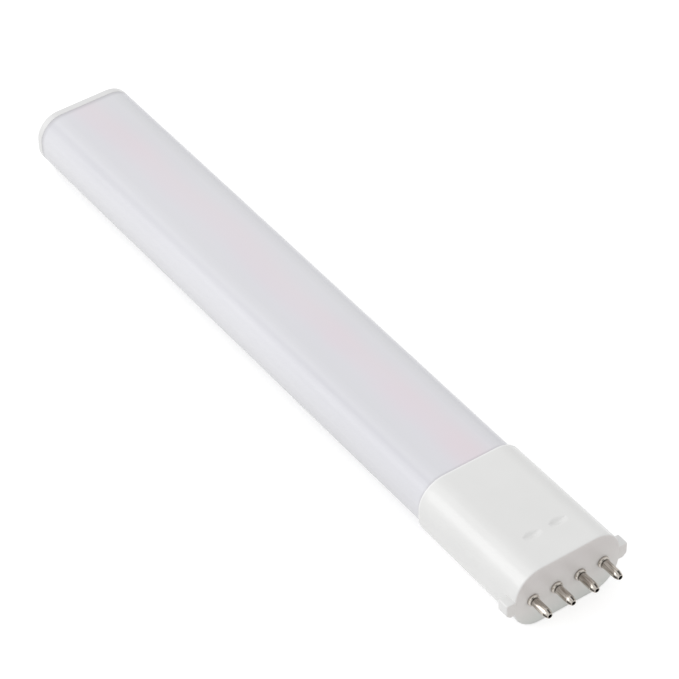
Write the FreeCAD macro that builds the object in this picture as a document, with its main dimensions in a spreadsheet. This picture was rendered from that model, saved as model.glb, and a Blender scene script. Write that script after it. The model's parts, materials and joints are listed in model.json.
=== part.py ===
import FreeCAD, Part
import Sketcher
import math
import os
import re

# Retrofit LED lamp for a four-pin compact fluorescent socket, lying on its back.
# The origin is the centre of the cap's end face, on the line of the pins.
# +X runs out along the pins, +Y across the row of pins and +Z up to the lit face.
# All sizes are in millimetres.

SIZES = [
    # Overall form
    ("lamp_length", 214.8, "end face of the cap to the far end of the lamp"),
    ("cap_width", 31.3, "cap across the row of pins, at its end face"),
    ("cap_height", 18.2, "cap from its underside to its top"),
    ("cap_corner", 7.7, "radius of the cap's long corners"),
    ("cap_length", 38.7, "cap from its end face to its mouth"),
    ("cap_draft", 0.25, "draft of the cap: how far each side comes in by the mouth"),
    ("cap_wall", 1.5, "wall of the cap round its cavity"),
    ("cap_edge", 0.5, "softened edge round the end face"),
    ("end_wall", 2.2, "end wall that carries the pins"),
    ("mouth_depth", 9.0, "depth to which the tube enters the cap"),
    ("mouth_bevel", 0.5, "bevel round the mouth's outer edge"),
    ("tube_width", 29.2, "tube across"),
    ("tube_height", 16.2, "tube from its underside to its top"),
    ("tube_corner", 6.9, "radius of the tube's long corners"),
    ("tube_wall", 1.2, "wall of the tube"),
    ("slip_gap", 0.1, "gap round the tube in the mouth and round the far cap's spigot"),
    # Pins
    ("pin_pitch", 7.0, "distance from pin to pin"),
    ("pin_diameter", 2.35, "pin outside"),
    ("pin_length", 6.7, "pin beyond the end face"),
    ("pin_taper", 1.6, "length of the pin's tapered tip"),
    ("pin_tip", 1.5, "pin's diameter at its tip"),
    ("pin_bore", 1.0, "hole along the pin"),
    ("pin_tail", 1.0, "open end of the pin behind the boss"),
    ("pin_gap", 0.02, "gap round the pin in its hole"),
    ("collar_diameter", 3.3, "pin's collar"),
    ("collar_height", 0.9, "collar in front of the end face"),
    ("collar_bevel", 0.4, "bevel of the collar's front edge"),
    ("boss_wall", 1.3, "plastic round the pins in the block behind the end wall"),
    ("boss_length", 4.0, "that block from the end wall"),
    # Moulded details of the cap
    ("lug_length", 3.6, "side lug from front to back"),
    ("lug_reach", 2.4, "side lug beyond the cap's side"),
    ("lug_height", 4.4, "side lug from bottom to top"),
    ("lug_drop", 0.35, "middle of the lug below the line of the pins"),
    ("lug_bevel", 0.6, "bevel on the lug's outer front edge"),
    ("recess_radius", 2.5, "round end of each half-moon recess, at its floor"),
    ("recess_edge", 9.9, "straight edge of a recess from the end face"),
    ("recess_centre", 8.7, "centre of the round end from the end face"),
    ("recess_pitch", 7.7, "distance between the two recesses"),
    ("recess_shift", 0.7, "middle of the pair to the side of the lamp's centre"),
    ("recess_slope", 24.0, "slope of a recess's floor in degrees"),
    ("recess_splay", 15.0, "splay of its round wall in degrees"),
    ("slot_gap", 0.2, "play of a board in its slot"),
    ("slot_rib", 0.9, "thickness of a slot's ribs"),
    ("slot_bite", 0.9, "reach of a rib over a board's edge"),
    # Far cap
    ("far_flange", 2.4, "far cap's flange"),
    ("far_edge", 0.8, "bevel of the far cap's outer edge"),
    ("spigot_depth", 6.0, "far cap's spigot in the tube"),
    ("spigot_wall", 1.2, "wall of the spigot"),
    ("end_gap", 0.3, "gap at the end of a piece that slides in"),
    # Light engine
    ("web_inset", 1.5, "edge of the spreader from the side of the tube's bore"),
    ("web_thickness", 1.2, "spreader's web"),
    ("fin_depth", 3.2, "spreader's fins below the web"),
    ("fin_width", 1.0, "thickness of a fin"),
    ("fin_pitch", 6.0, "distance between fins"),
    ("tape_inset", 1.0, "edge of the thermal tape from the edge of the lit board"),
    ("tape_thickness", 0.15, "thermal tape"),
    ("strip_inset", 3.4, "edge of the lit board from the edge of the spreader"),
    ("strip_thickness", 1.0, "board with the light-emitting chips"),
    ("strip_setback", 1.0, "end of that board behind the spreader's end"),
    ("chip_length", 2.8, "light-emitting chip along the lamp"),
    ("chip_width", 3.5, "light-emitting chip across"),
    ("chip_height", 0.7, "light-emitting chip above its board"),
    ("chip_rim", 0.35, "rim round the chip's window"),
    ("window_depth", 0.15, "dish of the window"),
    # Driver
    ("board_inset", 1.5, "edge of the driver board from the side of the cap's cavity"),
    ("board_thickness", 1.6, "driver board"),
    ("pad_reach", 1.8, "pin wire over the driver board"),
    ("part_gap", 0.5, "gap between neighbouring parts on the board"),
    ("lead_diameter", 0.6, "wires and leads of the parts"),
    ("lead_gap", 0.2, "gap round a lead in its hole"),
    ("lead_seat", 0.1, "solder under a wire or a round part"),
    ("lead_tail", 0.8, "lead below the board"),
    ("lead_depth", 4.0, "wire inside the pin, in front of the end face"),
    ("wire_pitch", 8.0, "distance between the two wires to the light engine"),
    ("wire_pad", 1.4, "reach of those wires over each board"),
    ("film_thickness", 4.0, "film capacitor along the lamp"),
    ("film_width", 6.4, "film capacitor across"),
    ("film_height", 6.5, "film capacitor above the board"),
    ("film_bevel", 0.4, "bevel of its upright edges"),
    ("film_spread", 5.0, "distance between its leads"),
    ("bulk_diameter", 6.3, "input capacitor"),
    ("bulk_height", 7.4, "input capacitor above the board"),
    ("bulk_spread", 2.5, "distance between its leads"),
    ("small_diameter", 4.0, "output capacitor"),
    ("small_height", 7.0, "output capacitor above the board"),
    ("small_spread", 1.6, "distance between its leads"),
    ("can_groove", 0.3, "depth of a can's rolled groove"),
    ("can_roll", 0.9, "width of that groove"),
    ("can_bevel", 0.3, "bevel of a can's top edge"),
    ("coil_diameter", 6.5, "inductor's drum core"),
    ("coil_height", 7.0, "inductor above the board"),
    ("coil_flange", 1.1, "flanges of the drum core"),
    ("coil_post", 3.0, "post of the drum core"),
    ("coil_sink", 0.5, "winding below the rim of the flanges"),
    ("coil_gap", 0.1, "gap between the winding and its core"),
    ("fuse_diameter", 2.2, "fusible resistor over its end caps"),
    ("fuse_length", 5.8, "fusible resistor"),
    ("fuse_cap", 1.0, "its end caps"),
    ("fuse_waist", 0.1, "barrel below the end caps"),
    ("bridge_length", 4.7, "rectifier's case across the lamp"),
    ("bridge_width", 3.8, "rectifier's case along the lamp"),
    ("bridge_height", 1.5, "rectifier below the board"),
    ("bridge_span", 6.6, "rectifier over its legs"),
    ("bridge_pitch", 2.5, "distance between its legs"),
    ("driver_length", 4.9, "driver circuit's case"),
    ("driver_width", 3.9, "driver circuit's case across its legs"),
    ("driver_height", 1.4, "driver circuit below the board"),
    ("driver_span", 6.0, "driver circuit over its legs"),
    ("driver_pitch", 1.27, "distance between its legs"),
    ("leg_width", 0.4, "leg of a flat part"),
    ("leg_thickness", 0.3, "leg of a flat part, upright"),
]
NAMES = {alias for alias, number, meaning in SIZES}
PIN_COUNT = 4
CHIP_COUNT = 24
BRIDGE_LEGS = 2
DRIVER_LEGS = 4
FINS = 3

# Lengths along the lamp, as distances behind the end face
TUBE_START = "(cap_length - mouth_depth)"
TUBE_LENGTH = f"(lamp_length - far_flange - {TUBE_START})"
BOSS_END = "(end_wall + boss_length)"
TUBE_END = f"({TUBE_START} + {TUBE_LENGTH})"
SPREADER_START = f"({TUBE_START} + strip_setback)"
SPREADER_LENGTH = f"({TUBE_END} - spigot_depth - end_gap - {SPREADER_START})"
STRIP_START = f"({SPREADER_START} + strip_setback)"
STRIP_LENGTH = f"({SPREADER_LENGTH} - 2 * strip_setback)"
CHIP_PITCH = f"({STRIP_LENGTH} / {CHIP_COUNT})"
TALL = "max(bulk_diameter; coil_diameter)"
BOARD_START = f"({BOSS_END} + pin_tail + end_gap)"
FRONT_ROW = f"({BOARD_START} + pad_reach + part_gap + film_thickness / 2)"
REAR_ROW = f"({FRONT_ROW} + film_thickness / 2 + part_gap + {TALL} / 2)"
WIRE_START = f"({REAR_ROW} + {TALL} / 2 + part_gap)"
BOARD_LENGTH = f"({WIRE_START} + wire_pad - {BOARD_START})"
DRIVER_ROW = f"({BOARD_START} + {BOARD_LENGTH} / 2)"
RIB_START = f"({BOARD_START} + pad_reach + part_gap)"

# Levels, as heights above the line of the pins; the wires lie on it
BOARD_TOP = "(-lead_diameter / 2 - lead_seat)"
BOARD_BOTTOM = f"({BOARD_TOP} - board_thickness)"
STRIP_TOP = BOARD_TOP
STRIP_BOTTOM = f"({STRIP_TOP} - strip_thickness)"
WEB_TOP = f"({STRIP_BOTTOM} - tape_thickness)"
WEB_BOTTOM = f"({WEB_TOP} - web_thickness)"
HOLE = "(lead_diameter + 2 * lead_gap)"

# Clear sections inside the cap and the tube, and what they hold
MOUTH_WIDTH = "(cap_width - 2 * cap_draft)"
MOUTH_HEIGHT = "(cap_height - 2 * cap_draft)"
MOUTH_CORNER = "(cap_corner - cap_draft)"
CAVITY_WIDTH = f"({MOUTH_WIDTH} - 2 * cap_wall)"
CAVITY_HEIGHT = f"({MOUTH_HEIGHT} - 2 * cap_wall)"
CAVITY_CORNER = f"({MOUTH_CORNER} - cap_wall)"
BORE_WIDTH = "(tube_width - 2 * tube_wall)"
BORE_HEIGHT = "(tube_height - 2 * tube_wall)"
BORE_CORNER = "(tube_corner - tube_wall)"
BOARD_WIDTH = f"({CAVITY_WIDTH} - 2 * board_inset)"
WEB_WIDTH = f"({BORE_WIDTH} - 2 * web_inset)"
STRIP_WIDTH = f"({WEB_WIDTH} - 2 * strip_inset)"
TAPE_WIDTH = f"({STRIP_WIDTH} - 2 * tape_inset)"
COLUMN = f"(small_diameter / 2 + part_gap + {TALL} / 2)"

document = FreeCAD.newDocument("led_pl_lamp")
sheet = document.addObject("Spreadsheet::Sheet", "sizes")
for row, (alias, number, meaning) in enumerate(SIZES, start=1):
    sheet.set(f"A{row}", meaning)
    sheet.set(f"B{row}", str(number))
    sheet.setAlias(f"B{row}", alias)
document.recompute()

parts = []


def formula(words):
    """Points each size's name in a formula at its spreadsheet cell."""
    return re.sub(r"[a-z]\w*", lambda word: f"sizes.{word[0]}" if word[0] in NAMES else word[0], words)


def value(words):
    """The number that a formula has now."""
    return float(sheet.evalExpression(formula(words)))


def bind(thing, path, words):
    """Ties a property to a formula."""
    thing.setExpression(path, formula(words))


def new_part(label, x="0", y="0", z="0", axis=None, angle=0):
    """Starts a sub-part and ties its place to the sizes."""
    body = document.addObject("PartDesign::Body", label)
    body.Label = label
    if axis:
        body.Placement.Rotation = FreeCAD.Rotation(axis, angle)
    bind(body, "Placement.Base.x", x)
    bind(body, "Placement.Base.y", y)
    bind(body, "Placement.Base.z", z)
    parts.append(body)
    return body


def new_sketch(body, role, offset="0"):
    """A sketch on one of the part's own planes, moved along the plane's normal."""
    sketch = body.newObject("Sketcher::SketchObject", f"{body.Name}_outline")
    plane = next(item for item in body.Origin.OriginFeatures if item.Role == role)
    sketch.AttachmentSupport = [(plane, "")]
    sketch.MapMode = "FlatFace"
    bind(sketch, "AttachmentOffset.Base.z", offset)
    return sketch


def hold(sketch, kind, *place, words):
    """Adds a dimension whose size is a formula."""
    number = sketch.addConstraint(Sketcher.Constraint(kind, *place, value(words)))
    bind(sketch, f"Constraints[{number}]", words)


def fix(sketch, edge, vertex, across, up):
    """Ties a point to its place, measured from the sketch's origin."""
    hold(sketch, "DistanceX", -1, 1, edge, vertex, words=across)
    hold(sketch, "DistanceY", -1, 1, edge, vertex, words=up)


def polygon(sketch, corners):
    """A closed outline through corners given as pairs of formulas."""
    points = [FreeCAD.Vector(value(across), value(up), 0) for across, up in corners]
    first = sketch.GeometryCount
    for start, end in zip(points, points[1:] + points[:1]):
        sketch.addGeometry(Part.LineSegment(start, end), False)
    for index, (across, up) in enumerate(corners):
        following = first + (index + 1) % len(corners)
        sketch.addConstraint(Sketcher.Constraint("Coincident", first + index, 2, following, 1))
        fix(sketch, first + index, 1, across, up)


def rectangle(sketch, left, right, bottom, top):
    polygon(sketch, [(left, bottom), (right, bottom), (right, top), (left, top)])


def circle(sketch, across, up, diameter):
    centre = FreeCAD.Vector(value(across), value(up), 0)
    upward = FreeCAD.Vector(0, 0, 1)
    edge = sketch.addGeometry(Part.Circle(centre, upward, value(diameter) / 2), False)
    hold(sketch, "Diameter", edge, words=diameter)
    fix(sketch, edge, 3, across, up)


def rounded_rectangle(sketch, width, height, corner):
    """A rectangle with round corners, centred on the sketch's origin."""
    radius = value(corner)
    arcs = []
    for turn, (side, level) in enumerate([(1, 1), (-1, 1), (-1, -1), (1, -1)]):
        across = f"{side} * ({width} / 2 - {corner})"
        up = f"{level} * ({height} / 2 - {corner})"
        centre = FreeCAD.Vector(value(across), value(up), 0)
        whole = Part.Circle(centre, FreeCAD.Vector(0, 0, 1), radius)
        start = turn * math.pi / 2
        arc = sketch.addGeometry(Part.ArcOfCircle(whole, start, start + math.pi / 2), False)
        fix(sketch, arc, 3, across, up)
        hold(sketch, "Radius", arc, words=corner)
        arcs.append(arc)
    for index, arc in enumerate(arcs):
        following = arcs[(index + 1) % len(arcs)]
        run = Part.LineSegment(sketch.getPoint(arc, 2), sketch.getPoint(following, 1))
        line = sketch.addGeometry(run, False)
        sketch.addConstraint(Sketcher.Constraint("Tangent", arc, 2, line, 1))
        sketch.addConstraint(Sketcher.Constraint("Tangent", line, 2, following, 1))


def feature(body, kind, sketch, length, backward=False):
    """Pads or cuts a sketch along its plane's normal, or against it."""
    step = body.newObject(f"PartDesign::{kind}", f"{body.Name}_{kind.lower()}")
    step.Profile = sketch
    bind(step, "Length", length)
    step.Reversed = backward if kind == "Pad" else not backward
    document.recompute()
    return step


def pad(body, sketch, length, backward=False):
    return feature(body, "Pad", sketch, length, backward)


def pocket(body, sketch, length, backward=False):
    """Cuts a pocket, and stops if it takes nothing away."""
    before = body.Shape.Volume
    step = feature(body, "Pocket", sketch, length, backward)
    if body.Shape.Volume >= before:
        raise ValueError(f"{step.Name} cuts nothing")
    return step


def revolve(body, sketch, axis):
    step = body.newObject("PartDesign::Revolution", f"{body.Name}_revolution")
    step.Profile = sketch
    step.ReferenceAxis = (sketch, [axis])
    step.Angle = 360
    document.recompute()
    return step


def bevel(body, test, size):
    """Bevels the edges whose box passes a test."""
    base = body.Tip
    names = []
    for number, edge in enumerate(base.Shape.Edges, start=1):
        if test(edge.BoundBox):
            names.append(f"Edge{number}")
    step = body.newObject("PartDesign::Chamfer", f"{body.Name}_chamfer")
    step.Base = (base, names)
    bind(step, "Size", size)
    document.recompute()
    return step


def near(first, second):
    return abs(first - second) < 0.001


def pin_place(index):
    """How far across the lamp a pin stands."""
    return f"({index - (PIN_COUNT - 1) / 2} * pin_pitch)"


def wall_middle(width, height, corner, wall, level):
    """Half the width of a rounded tube at a level, measured to the middle of its wall."""
    centre = f"({width} / 2 - {corner})"
    rise = f"({level} + ({height} / 2 - {corner}))"
    return f"({centre} + sqrt(({corner} - {wall} / 2)^2 - {rise}^2))"


def slot_ribs(sketch, width, height, corner, wall, board_half, bottom, thickness):
    """Two ribs on each side that hold a board's edge between them."""
    inner = f"({board_half} - slot_bite)"
    under = (f"({bottom} - slot_rib)", bottom)
    over = (f"({bottom} + {thickness} + slot_gap)", f"({bottom} + {thickness} + slot_gap + slot_rib)")
    for low, high in (under, over):
        root = wall_middle(width, height, corner, wall, f"(({low} + {high}) / 2)")
        rectangle(sketch, inner, root, low, high)
        rectangle(sketch, f"-{root}", f"-{inner}", low, high)


# Moulded cap
def make_base_housing():
    body = new_part("base_housing")
    face = new_sketch(body, "YZ_Plane")
    rounded_rectangle(face, "cap_width", "cap_height", "cap_corner")
    block = pad(body, face, "cap_length", backward=True)
    bind(block, "TaperAngle", "-atan(cap_draft / cap_length)")
    document.recompute()
    bevel(body, lambda box: near(box.XMin, 0) and near(box.XMax, 0), "cap_edge")
    depth = -value("cap_edge")
    bevel(body, lambda box: near(box.XMin, box.XMax) and box.XMin > depth - 0.001, "cap_edge / 3")
    rim = -value("cap_length")
    bevel(body, lambda box: near(box.XMin, rim) and near(box.XMax, rim), "mouth_bevel")

    seat = new_sketch(body, "YZ_Plane", "-cap_length")
    rounded_rectangle(seat, "(tube_width + 2 * slip_gap)", "(tube_height + 2 * slip_gap)",
                      "(tube_corner + slip_gap)")
    pocket(body, seat, "mouth_depth")
    cavity = new_sketch(body, "YZ_Plane", "-cap_length")
    rounded_rectangle(cavity, CAVITY_WIDTH, CAVITY_HEIGHT, CAVITY_CORNER)
    pocket(body, cavity, "cap_length - end_wall")

    boss = new_sketch(body, "YZ_Plane", "-end_wall")
    reach = "(pin_diameter / 2 + boss_wall)"
    rectangle(boss, f"({pin_place(0)} - {reach})", f"({pin_place(PIN_COUNT - 1)} + {reach})", f"-{reach}", reach)
    pad(body, boss, "boss_length", backward=True)
    ribs = new_sketch(body, "YZ_Plane", f"-{RIB_START}")
    slot_ribs(ribs, MOUTH_WIDTH, MOUTH_HEIGHT, MOUTH_CORNER, "cap_wall",
              f"({BOARD_WIDTH} / 2)", BOARD_BOTTOM, "board_thickness")
    pad(body, ribs, f"{BOARD_START} + {BOARD_LENGTH} - {RIB_START}", backward=True)

    lugs = new_sketch(body, "YZ_Plane")
    low = "(-lug_drop - lug_height / 2)"
    high = "(-lug_drop + lug_height / 2)"
    root = "(cap_width / 2 - cap_wall / 2)"
    tip = "(cap_width / 2 + lug_reach)"
    rectangle(lugs, root, tip, low, high)
    rectangle(lugs, f"-{tip}", f"-{root}", low, high)
    pad(body, lugs, "lug_length", backward=True)
    side = value(tip)
    bevel(body, lambda box: near(box.XMin, 0) and near(box.YLength, 0)
           and near(abs(box.YMin), side), "lug_bevel")

    holes = new_sketch(body, "YZ_Plane")
    for index in range(PIN_COUNT):
        circle(holes, pin_place(index), "0", "(pin_diameter + 2 * pin_gap)")
    pocket(body, holes, BOSS_END, backward=True)

    recesses = new_sketch(body, "XY_Plane", "cap_height / 2")
    bind(recesses, "AttachmentOffset.Base.x", "-recess_edge")
    tilt = FreeCAD.Rotation(FreeCAD.Vector(0, 1, 0), -value("recess_slope"))
    recesses.AttachmentOffset = FreeCAD.Placement(recesses.AttachmentOffset.Base, tilt)
    for side in ("-", "+"):
        circle(recesses, "recess_edge - recess_centre", f"recess_shift {side} recess_pitch / 2",
               "(2 * recess_radius)")
    scoop = pocket(body, recesses, "recess_radius")
    bind(scoop, "TaperAngle", "recess_splay")
    document.recompute()


# Contact pins
def make_pin(index):
    body = new_part(f"pin_{index + 1}", y=pin_place(index))
    profile = new_sketch(body, "XZ_Plane")
    bore = "(pin_bore / 2)"
    outside = "(pin_diameter / 2)"
    tail_end = f"(-{BOSS_END} - pin_tail)"
    polygon(profile, [
        ("pin_length", bore),
        ("pin_length", "(pin_tip / 2)"),
        ("(pin_length - pin_taper)", outside),
        ("collar_height", outside),
        ("collar_height", "(collar_diameter / 2 - collar_bevel)"),
        ("(collar_height - collar_bevel)", "(collar_diameter / 2)"),
        ("0", "(collar_diameter / 2)"),
        ("0", outside),
        (tail_end, outside),
        (tail_end, bore),
    ])
    revolve(body, profile, "H_Axis")


# Milky tube with ribs for the spreader
def make_diffuser_tube():
    body = new_part("diffuser_tube", x=f"-{TUBE_START}")
    section = new_sketch(body, "YZ_Plane")
    rounded_rectangle(section, "tube_width", "tube_height", "tube_corner")
    rounded_rectangle(section, BORE_WIDTH, BORE_HEIGHT, BORE_CORNER)
    pad(body, section, TUBE_LENGTH, backward=True)
    ribs = new_sketch(body, "YZ_Plane")
    slot_ribs(ribs, "tube_width", "tube_height", "tube_corner", "tube_wall",
              f"({WEB_WIDTH} / 2)", WEB_BOTTOM, "web_thickness")
    pad(body, ribs, TUBE_LENGTH, backward=True)


# Plug in the far end of the tube
def make_end_cap():
    body = new_part("end_cap", x=f"-{TUBE_END}")
    flange = new_sketch(body, "YZ_Plane")
    rounded_rectangle(flange, "tube_width", "tube_height", "tube_corner")
    pad(body, flange, "far_flange", backward=True)
    back = -value("far_flange")
    bevel(body, lambda box: near(box.XMin, back) and near(box.XMax, back), "far_edge")
    spigot = new_sketch(body, "YZ_Plane")
    rounded_rectangle(spigot, f"({BORE_WIDTH} - 2 * slip_gap)", f"({BORE_HEIGHT} - 2 * slip_gap)",
                      f"({BORE_CORNER} - slip_gap)")
    rounded_rectangle(spigot, f"({BORE_WIDTH} - 2 * slip_gap - 2 * spigot_wall)",
                      f"({BORE_HEIGHT} - 2 * slip_gap - 2 * spigot_wall)",
                      f"({BORE_CORNER} - slip_gap - spigot_wall)")
    pad(body, spigot, "spigot_depth")
    notches = new_sketch(body, "YZ_Plane")
    inner = f"({WEB_WIDTH} / 2 - slot_bite - slot_gap)"
    low = f"({WEB_BOTTOM} - slot_rib - slot_gap)"
    high = f"({WEB_TOP} + slot_rib + 2 * slot_gap)"
    rectangle(notches, inner, "(tube_width / 2)", low, high)
    rectangle(notches, "(-tube_width / 2)", f"-{inner}", low, high)
    pocket(body, notches, "spigot_depth")


# Extruded aluminium spreader
def make_heat_spreader():
    body = new_part("heat_spreader", x=f"-{SPREADER_START}", z=WEB_BOTTOM)
    web = new_sketch(body, "YZ_Plane")
    rectangle(web, f"(-{WEB_WIDTH} / 2)", f"({WEB_WIDTH} / 2)", "0", "web_thickness")
    pad(body, web, SPREADER_LENGTH, backward=True)
    fins = new_sketch(body, "YZ_Plane")
    for index in range(FINS):
        middle = f"({index - (FINS - 1) / 2} * fin_pitch)"
        rectangle(fins, f"({middle} - fin_width / 2)", f"({middle} + fin_width / 2)",
                  "-fin_depth", "(web_thickness / 2)")
    pad(body, fins, SPREADER_LENGTH, backward=True)


def make_strip(label, width, thickness, bottom):
    """A flat strip that lies along the spreader."""
    body = new_part(label, x=f"-{STRIP_START}", z=bottom)
    outline = new_sketch(body, "XY_Plane")
    rectangle(outline, f"-{STRIP_LENGTH}", "0", f"(-{width} / 2)", f"({width} / 2)")
    pad(body, outline, thickness)


# Light-emitting chips
def make_chip(index):
    middle = f"({STRIP_START} + {index + 0.5} * {CHIP_PITCH})"
    body = new_part(f"led_chip_{index + 1:02d}", x=f"-{middle}", z=STRIP_TOP)
    outline = new_sketch(body, "XY_Plane")
    rectangle(outline, "(-chip_length / 2)", "(chip_length / 2)", "(-chip_width / 2)", "(chip_width / 2)")
    pad(body, outline, "chip_height")
    window = new_sketch(body, "XY_Plane", "chip_height")
    along = "(chip_length / 2 - chip_rim)"
    across = "(chip_width / 2 - chip_rim)"
    rectangle(window, f"-{along}", along, f"-{across}", across)
    pocket(body, window, "window_depth", backward=True)


# Driver board with a hole for each lead
def make_driver_board():
    body = new_part("driver_board", x=f"-{BOARD_START}", z=BOARD_BOTTOM)
    outline = new_sketch(body, "XY_Plane")
    rectangle(outline, f"-{BOARD_LENGTH}", "0", f"(-{BOARD_WIDTH} / 2)", f"({BOARD_WIDTH} / 2)")
    pad(body, outline, "board_thickness")
    holes = new_sketch(body, "XY_Plane")
    for side in ("-", "+"):
        circle(holes, f"({BOARD_START} - {FRONT_ROW})", f"(-{COLUMN} {side} film_spread / 2)", HOLE)
        circle(holes, f"({BOARD_START} - {REAR_ROW})", f"(-{COLUMN} {side} bulk_spread / 2)", HOLE)
        circle(holes, f"({BOARD_START} - {REAR_ROW})", f"({side}small_spread / 2)", HOLE)
    pocket(body, holes, "board_thickness")


def add_leads(body, spread):
    """Two straight leads down through the board."""
    feet = new_sketch(body, "XY_Plane")
    for side in ("-", "+"):
        circle(feet, "0", f"({side}{spread} / 2)", "lead_diameter")
    pad(body, feet, "board_thickness + lead_tail", backward=True)


def make_film_capacitor():
    body = new_part("film_capacitor", x=f"-{FRONT_ROW}", y=f"-{COLUMN}", z=BOARD_TOP)
    case = new_sketch(body, "XY_Plane")
    rectangle(case, "(-film_thickness / 2)", "(film_thickness / 2)", "(-film_width / 2)", "(film_width / 2)")
    pad(body, case, "film_height")
    bevel(body, lambda box: box.ZLength > 1, "film_bevel")
    add_leads(body, "film_spread")


def make_can(label, diameter, height, spread, along, across):
    """An electrolytic capacitor that stands on the board, with its rolled groove."""
    body = new_part(label, x=f"-{along}", y=across, z=BOARD_TOP)
    profile = new_sketch(body, "XZ_Plane")
    rim = f"({diameter} / 2)"
    polygon(profile, [
        ("0", "0"),
        (rim, "0"),
        (rim, "can_roll"),
        (f"({rim} - can_groove)", "(1.5 * can_roll)"),
        (rim, "(2 * can_roll)"),
        (rim, f"({height} - can_bevel)"),
        (f"({rim} - can_bevel)", height),
        ("0", height),
    ])
    revolve(body, profile, "V_Axis")
    add_leads(body, spread)


def make_inductor():
    core = new_part("inductor_core", x=f"-{REAR_ROW}", y=COLUMN, z=BOARD_TOP)
    profile = new_sketch(core, "XZ_Plane")
    rim = "(coil_diameter / 2)"
    post = "(coil_post / 2)"
    polygon(profile, [
        ("0", "0"),
        (rim, "0"),
        (rim, "coil_flange"),
        (post, "coil_flange"),
        (post, "(coil_height - coil_flange)"),
        (rim, "(coil_height - coil_flange)"),
        (rim, "coil_height"),
        ("0", "coil_height"),
    ])
    revolve(core, profile, "V_Axis")
    winding = new_part("inductor_winding", x=f"-{REAR_ROW}", y=COLUMN, z=BOARD_TOP)
    ring = new_sketch(winding, "XZ_Plane")
    rectangle(ring, f"({post} + coil_gap)", f"({rim} - coil_sink)", "(coil_flange + coil_gap)",
              "(coil_height - coil_flange - coil_gap)")
    revolve(winding, ring, "V_Axis")


def make_fuse_resistor():
    """A round resistor with a metal cap on each end, lying across the board."""
    body = new_part("fuse_resistor", x=f"-{FRONT_ROW}", y=COLUMN,
                    z=f"({BOARD_TOP} + lead_seat + fuse_diameter / 2)",
                    axis=FreeCAD.Vector(0, 0, 1), angle=90)
    profile = new_sketch(body, "XZ_Plane")
    end = "(fuse_length / 2)"
    inner = "(fuse_length / 2 - fuse_cap)"
    rim = "(fuse_diameter / 2)"
    waist = "(fuse_diameter / 2 - fuse_waist)"
    polygon(profile, [
        (f"-{end}", "0"),
        (f"-{end}", rim),
        (f"-{inner}", rim),
        (f"-{inner}", waist),
        (inner, waist),
        (inner, rim),
        (end, rim),
        (end, "0"),
    ])
    revolve(body, profile, "H_Axis")


def make_flat_part(label, sizes, legs, along, across, angle):
    """A flat part on the underside of the board, with its legs pressed to the board."""
    body = new_part(label, x=f"-{along}", y=across, z=BOARD_BOTTOM,
                    axis=FreeCAD.Vector(1, 0, 0), angle=180)
    turn = FreeCAD.Rotation(FreeCAD.Vector(0, 0, 1), angle)
    body.Placement.Rotation = turn.multiply(body.Placement.Rotation)
    length, width, height, span, pitch = sizes
    case = new_sketch(body, "XY_Plane")
    rectangle(case, f"(-{length} / 2)", f"({length} / 2)", f"(-{width} / 2)", f"({width} / 2)")
    pad(body, case, height)
    feet = new_sketch(body, "XY_Plane")
    for index in range(legs):
        middle = f"({index - (legs - 1) / 2} * {pitch})"
        rectangle(feet, f"({middle} - leg_width / 2)", f"({middle} + leg_width / 2)",
                  f"(-{span} / 2)", f"({span} / 2)")
    pad(body, feet, "leg_thickness")


def make_wire(label, across, front, back):
    """A straight wire along the lamp, on the line of the pins."""
    body = new_part(label, x=front, y=across)
    section = new_sketch(body, "YZ_Plane")
    circle(section, "0", "0", "lead_diameter")
    pad(body, section, f"{front} - {back}", backward=True)


# Wires from the board to the pins and to the light engine
def make_wires():
    for index in range(PIN_COUNT):
        make_wire(f"pin_lead_{index + 1}", pin_place(index), "lead_depth",
                  f"(-{BOARD_START} - pad_reach)")
    for label, side in (("led_lead_negative", "-"), ("led_lead_positive", "+")):
        make_wire(label, f"({side}wire_pitch / 2)", f"(-{WIRE_START})", f"(-{STRIP_START} - wire_pad)")


make_base_housing()
for pin_index in range(PIN_COUNT):
    make_pin(pin_index)
make_diffuser_tube()
make_end_cap()
make_heat_spreader()
make_strip("thermal_tape", TAPE_WIDTH, "tape_thickness", WEB_TOP)
make_strip("led_board", STRIP_WIDTH, "strip_thickness", STRIP_BOTTOM)
for chip_index in range(CHIP_COUNT):
    make_chip(chip_index)
make_driver_board()
make_film_capacitor()
make_can("input_capacitor", "bulk_diameter", "bulk_height", "bulk_spread", REAR_ROW, f"-{COLUMN}")
make_can("output_capacitor", "small_diameter", "small_height", "small_spread", REAR_ROW, "0")
make_inductor()
make_fuse_resistor()
make_flat_part("bridge_rectifier", ("bridge_length", "bridge_width", "bridge_height", "bridge_span",
               "bridge_pitch"), BRIDGE_LEGS, FRONT_ROW, "0", 90)
make_flat_part("driver_circuit", ("driver_length", "driver_width", "driver_height", "driver_span",
               "driver_pitch"), DRIVER_LEGS, DRIVER_ROW, COLUMN, 0)
make_wires()

document.recompute()
for item in document.Objects:
    if "Invalid" in item.State or "Error" in item.State:
        raise ValueError(f"{item.Name} failed: {item.State}")
for part in parts:
    if part.Shape.isNull() or not part.Shape.isValid() or not part.Shape.Solids:
        raise ValueError(f"{part.Label} is not a valid solid")

os.makedirs("parts", exist_ok=True)
for part in parts:
    part.Shape.exportStep(os.path.join("parts", f"{part.Label}.step"))
print(f"{len(parts)} parts written")
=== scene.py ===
import json
import math

import bpy
import bmesh
from mathutils import Matrix, Vector


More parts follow.
